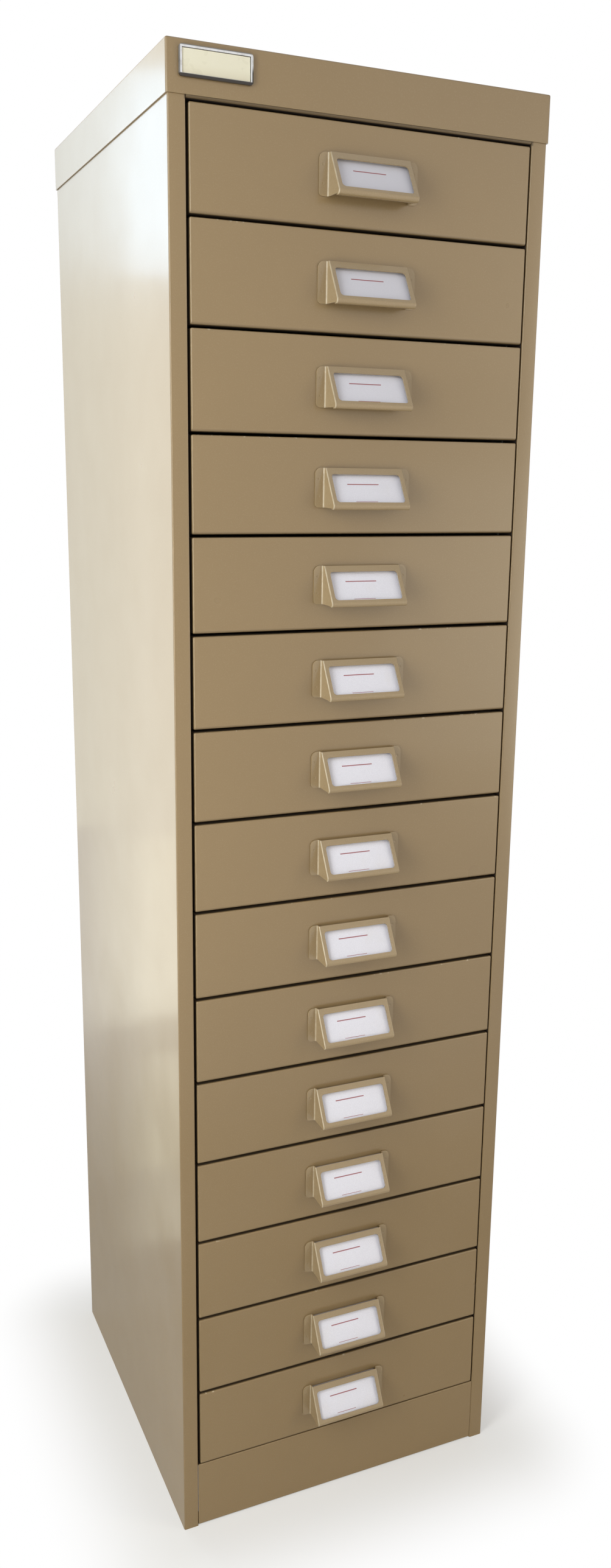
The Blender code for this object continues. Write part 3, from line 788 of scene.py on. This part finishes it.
def soft_bends():
    """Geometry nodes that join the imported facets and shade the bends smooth, with crisp cut edges."""
    group = bpy.data.node_groups.new("soft_bends", "GeometryNodeTree")
    for in_out in ("INPUT", "OUTPUT"):
        group.interface.new_socket("Geometry", in_out=in_out, socket_type="NodeSocketGeometry")
    g = Graph(group)
    merge = g.node("GeometryNodeMergeByDistance")
    merge.inputs["Distance"].default_value = MERGE_DISTANCE
    plain = g.node("GeometryNodeRemoveAttribute")
    plain.inputs["Name"].default_value = "custom_normal"
    faces = g.node("GeometryNodeSetShadeSmooth")
    edges = g.node("GeometryNodeSetShadeSmooth", domain="EDGE")
    edges.inputs["Shade Smooth"].default_value = False
    angle = g.node("GeometryNodeInputMeshEdgeAngle").outputs["Unsigned Angle"]
    g.fill(edges.inputs["Selection"], g.math("GREATER_THAN", angle, BEND_ANGLE))
    chain = [g.node("NodeGroupInput"), merge, plain, faces, edges, g.node("NodeGroupOutput")]
    for first, second in zip(chain, chain[1:]):
        g.fill(second.inputs[0], first.outputs[0])
    return group


def dress(material, names, bends=None):
    """Give CAD nodes a better material in their own slots, and smooth bends."""
    for name in names:
        item = frame["nodes"][name]
        for slot in item.material_slots:
            slot.material = material
        if bends:
            item.modifiers.new("bends", "NODES").node_group = bends
            keep_sharp_normals(item)


def dress_nodes():
    """Every CAD node gets its finish, and the pulls are fitted."""
    case_enamel = enamel_surface("case_enamel", ENAMEL, ENAMEL_SPECK, case_gap_painted_shade)
    drawer_enamel = enamel_surface(
        "drawer_enamel", ENAMEL, ENAMEL_SPECK, drawer_gap_painted_shade, front_chips, shade=foot_painted_shade
    )
    # A lighter copy of the enamel for the pulls, as painted light
    pull_enamel = enamel_surface(
        "pull_enamel", PULL_ENAMEL_PAINTED_LIGHT, PULL_SPECK_PAINTED_LIGHT, chips=fold_painted_highlight, gloss=PULL_GLOSS
    )
    names = list(frame["nodes"])
    cards = [name for name in names if name.startswith("card_")]
    runners = [name for name in names if "runner" in name]
    other = {*cards, *runners, *DRAWERS, "badge_frame", "badge_plate"}
    bends = soft_bends()
    dress(case_enamel, [name for name in names if name not in other], bends)
    dress(drawer_enamel, DRAWERS, bends)
    dress(steel_surface("runner_finish"), runners)
    dress(card_surface("card_finish"), cards)
    dress(chrome_surface("chrome_finish"), ["badge_frame"])
    dress(plate_surface("plate_finish"), ["badge_plate"])
    fit_pulls(pull_enamel)


def floor_surface(name):
    """A pale floor that keeps the object's shadow, white to the camera and to gloss farther off."""
    s = Surface(name)
    s.set("Base Color", FLOOR_PALE)
    s.set("Roughness", 0.9)
    s.set("Specular IOR Level", 0.1)
    glow = s.node("ShaderNodeEmission")
    s.fill(glow.inputs["Strength"], 1.0)
    path = s.node("ShaderNodeLightPath").outputs
    beyond = [
        s.math("POWER", s.most(s.less(s.apart(value, 0.0), foot), 0.0), 2.0)
        for value, foot in zip(s.axes(), CASE_FOOT)
    ]
    away = s.math("SQRT", s.math("ADD", *beyond))
    seen = s.most(path["Is Camera Ray"], path["Is Transmission Ray"])
    seen = s.times(seen, s.ranged(away, *SHADOW_FADE, SHADOW_SHARE, 1.0))
    mirrored = s.times(path["Is Glossy Ray"], s.ranged(away, *MIRROR_FADE))
    blend = s.node("ShaderNodeMixShader")
    s.fill(blend.inputs[0], s.most(seen, mirrored))
    s.fill(blend.inputs[1], s.shader.outputs["BSDF"])
    s.fill(blend.inputs[2], glow.outputs[0])
    s.fill(s.output.inputs["Surface"], blend.outputs[0])
    return s.material


def stage():
    """The floor under the cabinet."""
    work = bmesh.new()
    corners = ((-1, -1), (1, -1), (1, 1), (-1, 1))
    work.faces.new([work.verts.new((x * FLOOR_REACH, y * FLOOR_REACH, 0)) for x, y in corners])
    mesh = to_mesh(work, "floor")
    mesh.materials.append(floor_surface("floor_finish"))
    floor = linked("floor", mesh)


def light_world():
    """White to the camera and to gloss, a plain soft level of light for everything else."""
    world = bpy.data.worlds.new("studio")
    bpy.context.scene.world = world
    world.use_nodes = True
    g = Graph(world.node_tree)
    path = g.node("ShaderNodeLightPath").outputs
    blend = g.node("ShaderNodeMixShader")
    seen = g.most(path["Is Camera Ray"], path["Is Glossy Ray"], path["Is Transmission Ray"])
    g.fill(blend.inputs[0], seen)
    for index, colour, strength in ((1, SOFT_WHITE, SOFT_STRENGTH), (2, WHITE, 1.0)):
        glow = g.node("ShaderNodeBackground")
        g.fill(glow.inputs["Color"], colour)
        g.fill(glow.inputs["Strength"], strength)
        g.fill(blend.inputs[index], glow.outputs[0])
    g.fill(g.node("ShaderNodeOutputWorld").inputs["Surface"], blend.outputs[0])


def lamps():
    """Soft lamps in front and at the left edge, and tall white panels for the side's sheen."""
    for name, place, target, size, power, colour in LAMPS:
        data = bpy.data.lights.new(name, "AREA")
        data.shape = "RECTANGLE"
        data.size, data.size_y = size
        data.energy = power
        data.color = colour
        lamp = linked(name, data)
        lamp.location = place
        aim = Vector(target) - Vector(place)
        lamp.rotation_euler = aim.to_track_quat("-Z", "Y").to_euler()
        lamp.visible_camera = False


def make_camera():
    """The camera stands where the photograph was taken from."""
    data = bpy.data.cameras.new("photo_camera")
    data.sensor_width = CAMERA_SENSOR
    data.lens = CAMERA_FOCAL_PIXELS * CAMERA_SENSOR / IMAGE_LONG_SIDE
    data.clip_start, data.clip_end = CAMERA_CLIP
    camera = linked("photo_camera", data)
    forward = Vector(CAMERA_FORWARD).normalized()
    right = forward.cross(Vector(CAMERA_UP)).normalized()
    up = right.cross(forward)
    turn = Matrix((right, up, -forward)).transposed().to_4x4()
    camera.matrix_world = Matrix.Translation(CAMERA_PLACE) @ turn
    bpy.context.scene.camera = camera


make_camera()
light_world()
lamps()
stage()
dress_nodes()
bpy.context.scene.view_settings.view_transform = "Standard"
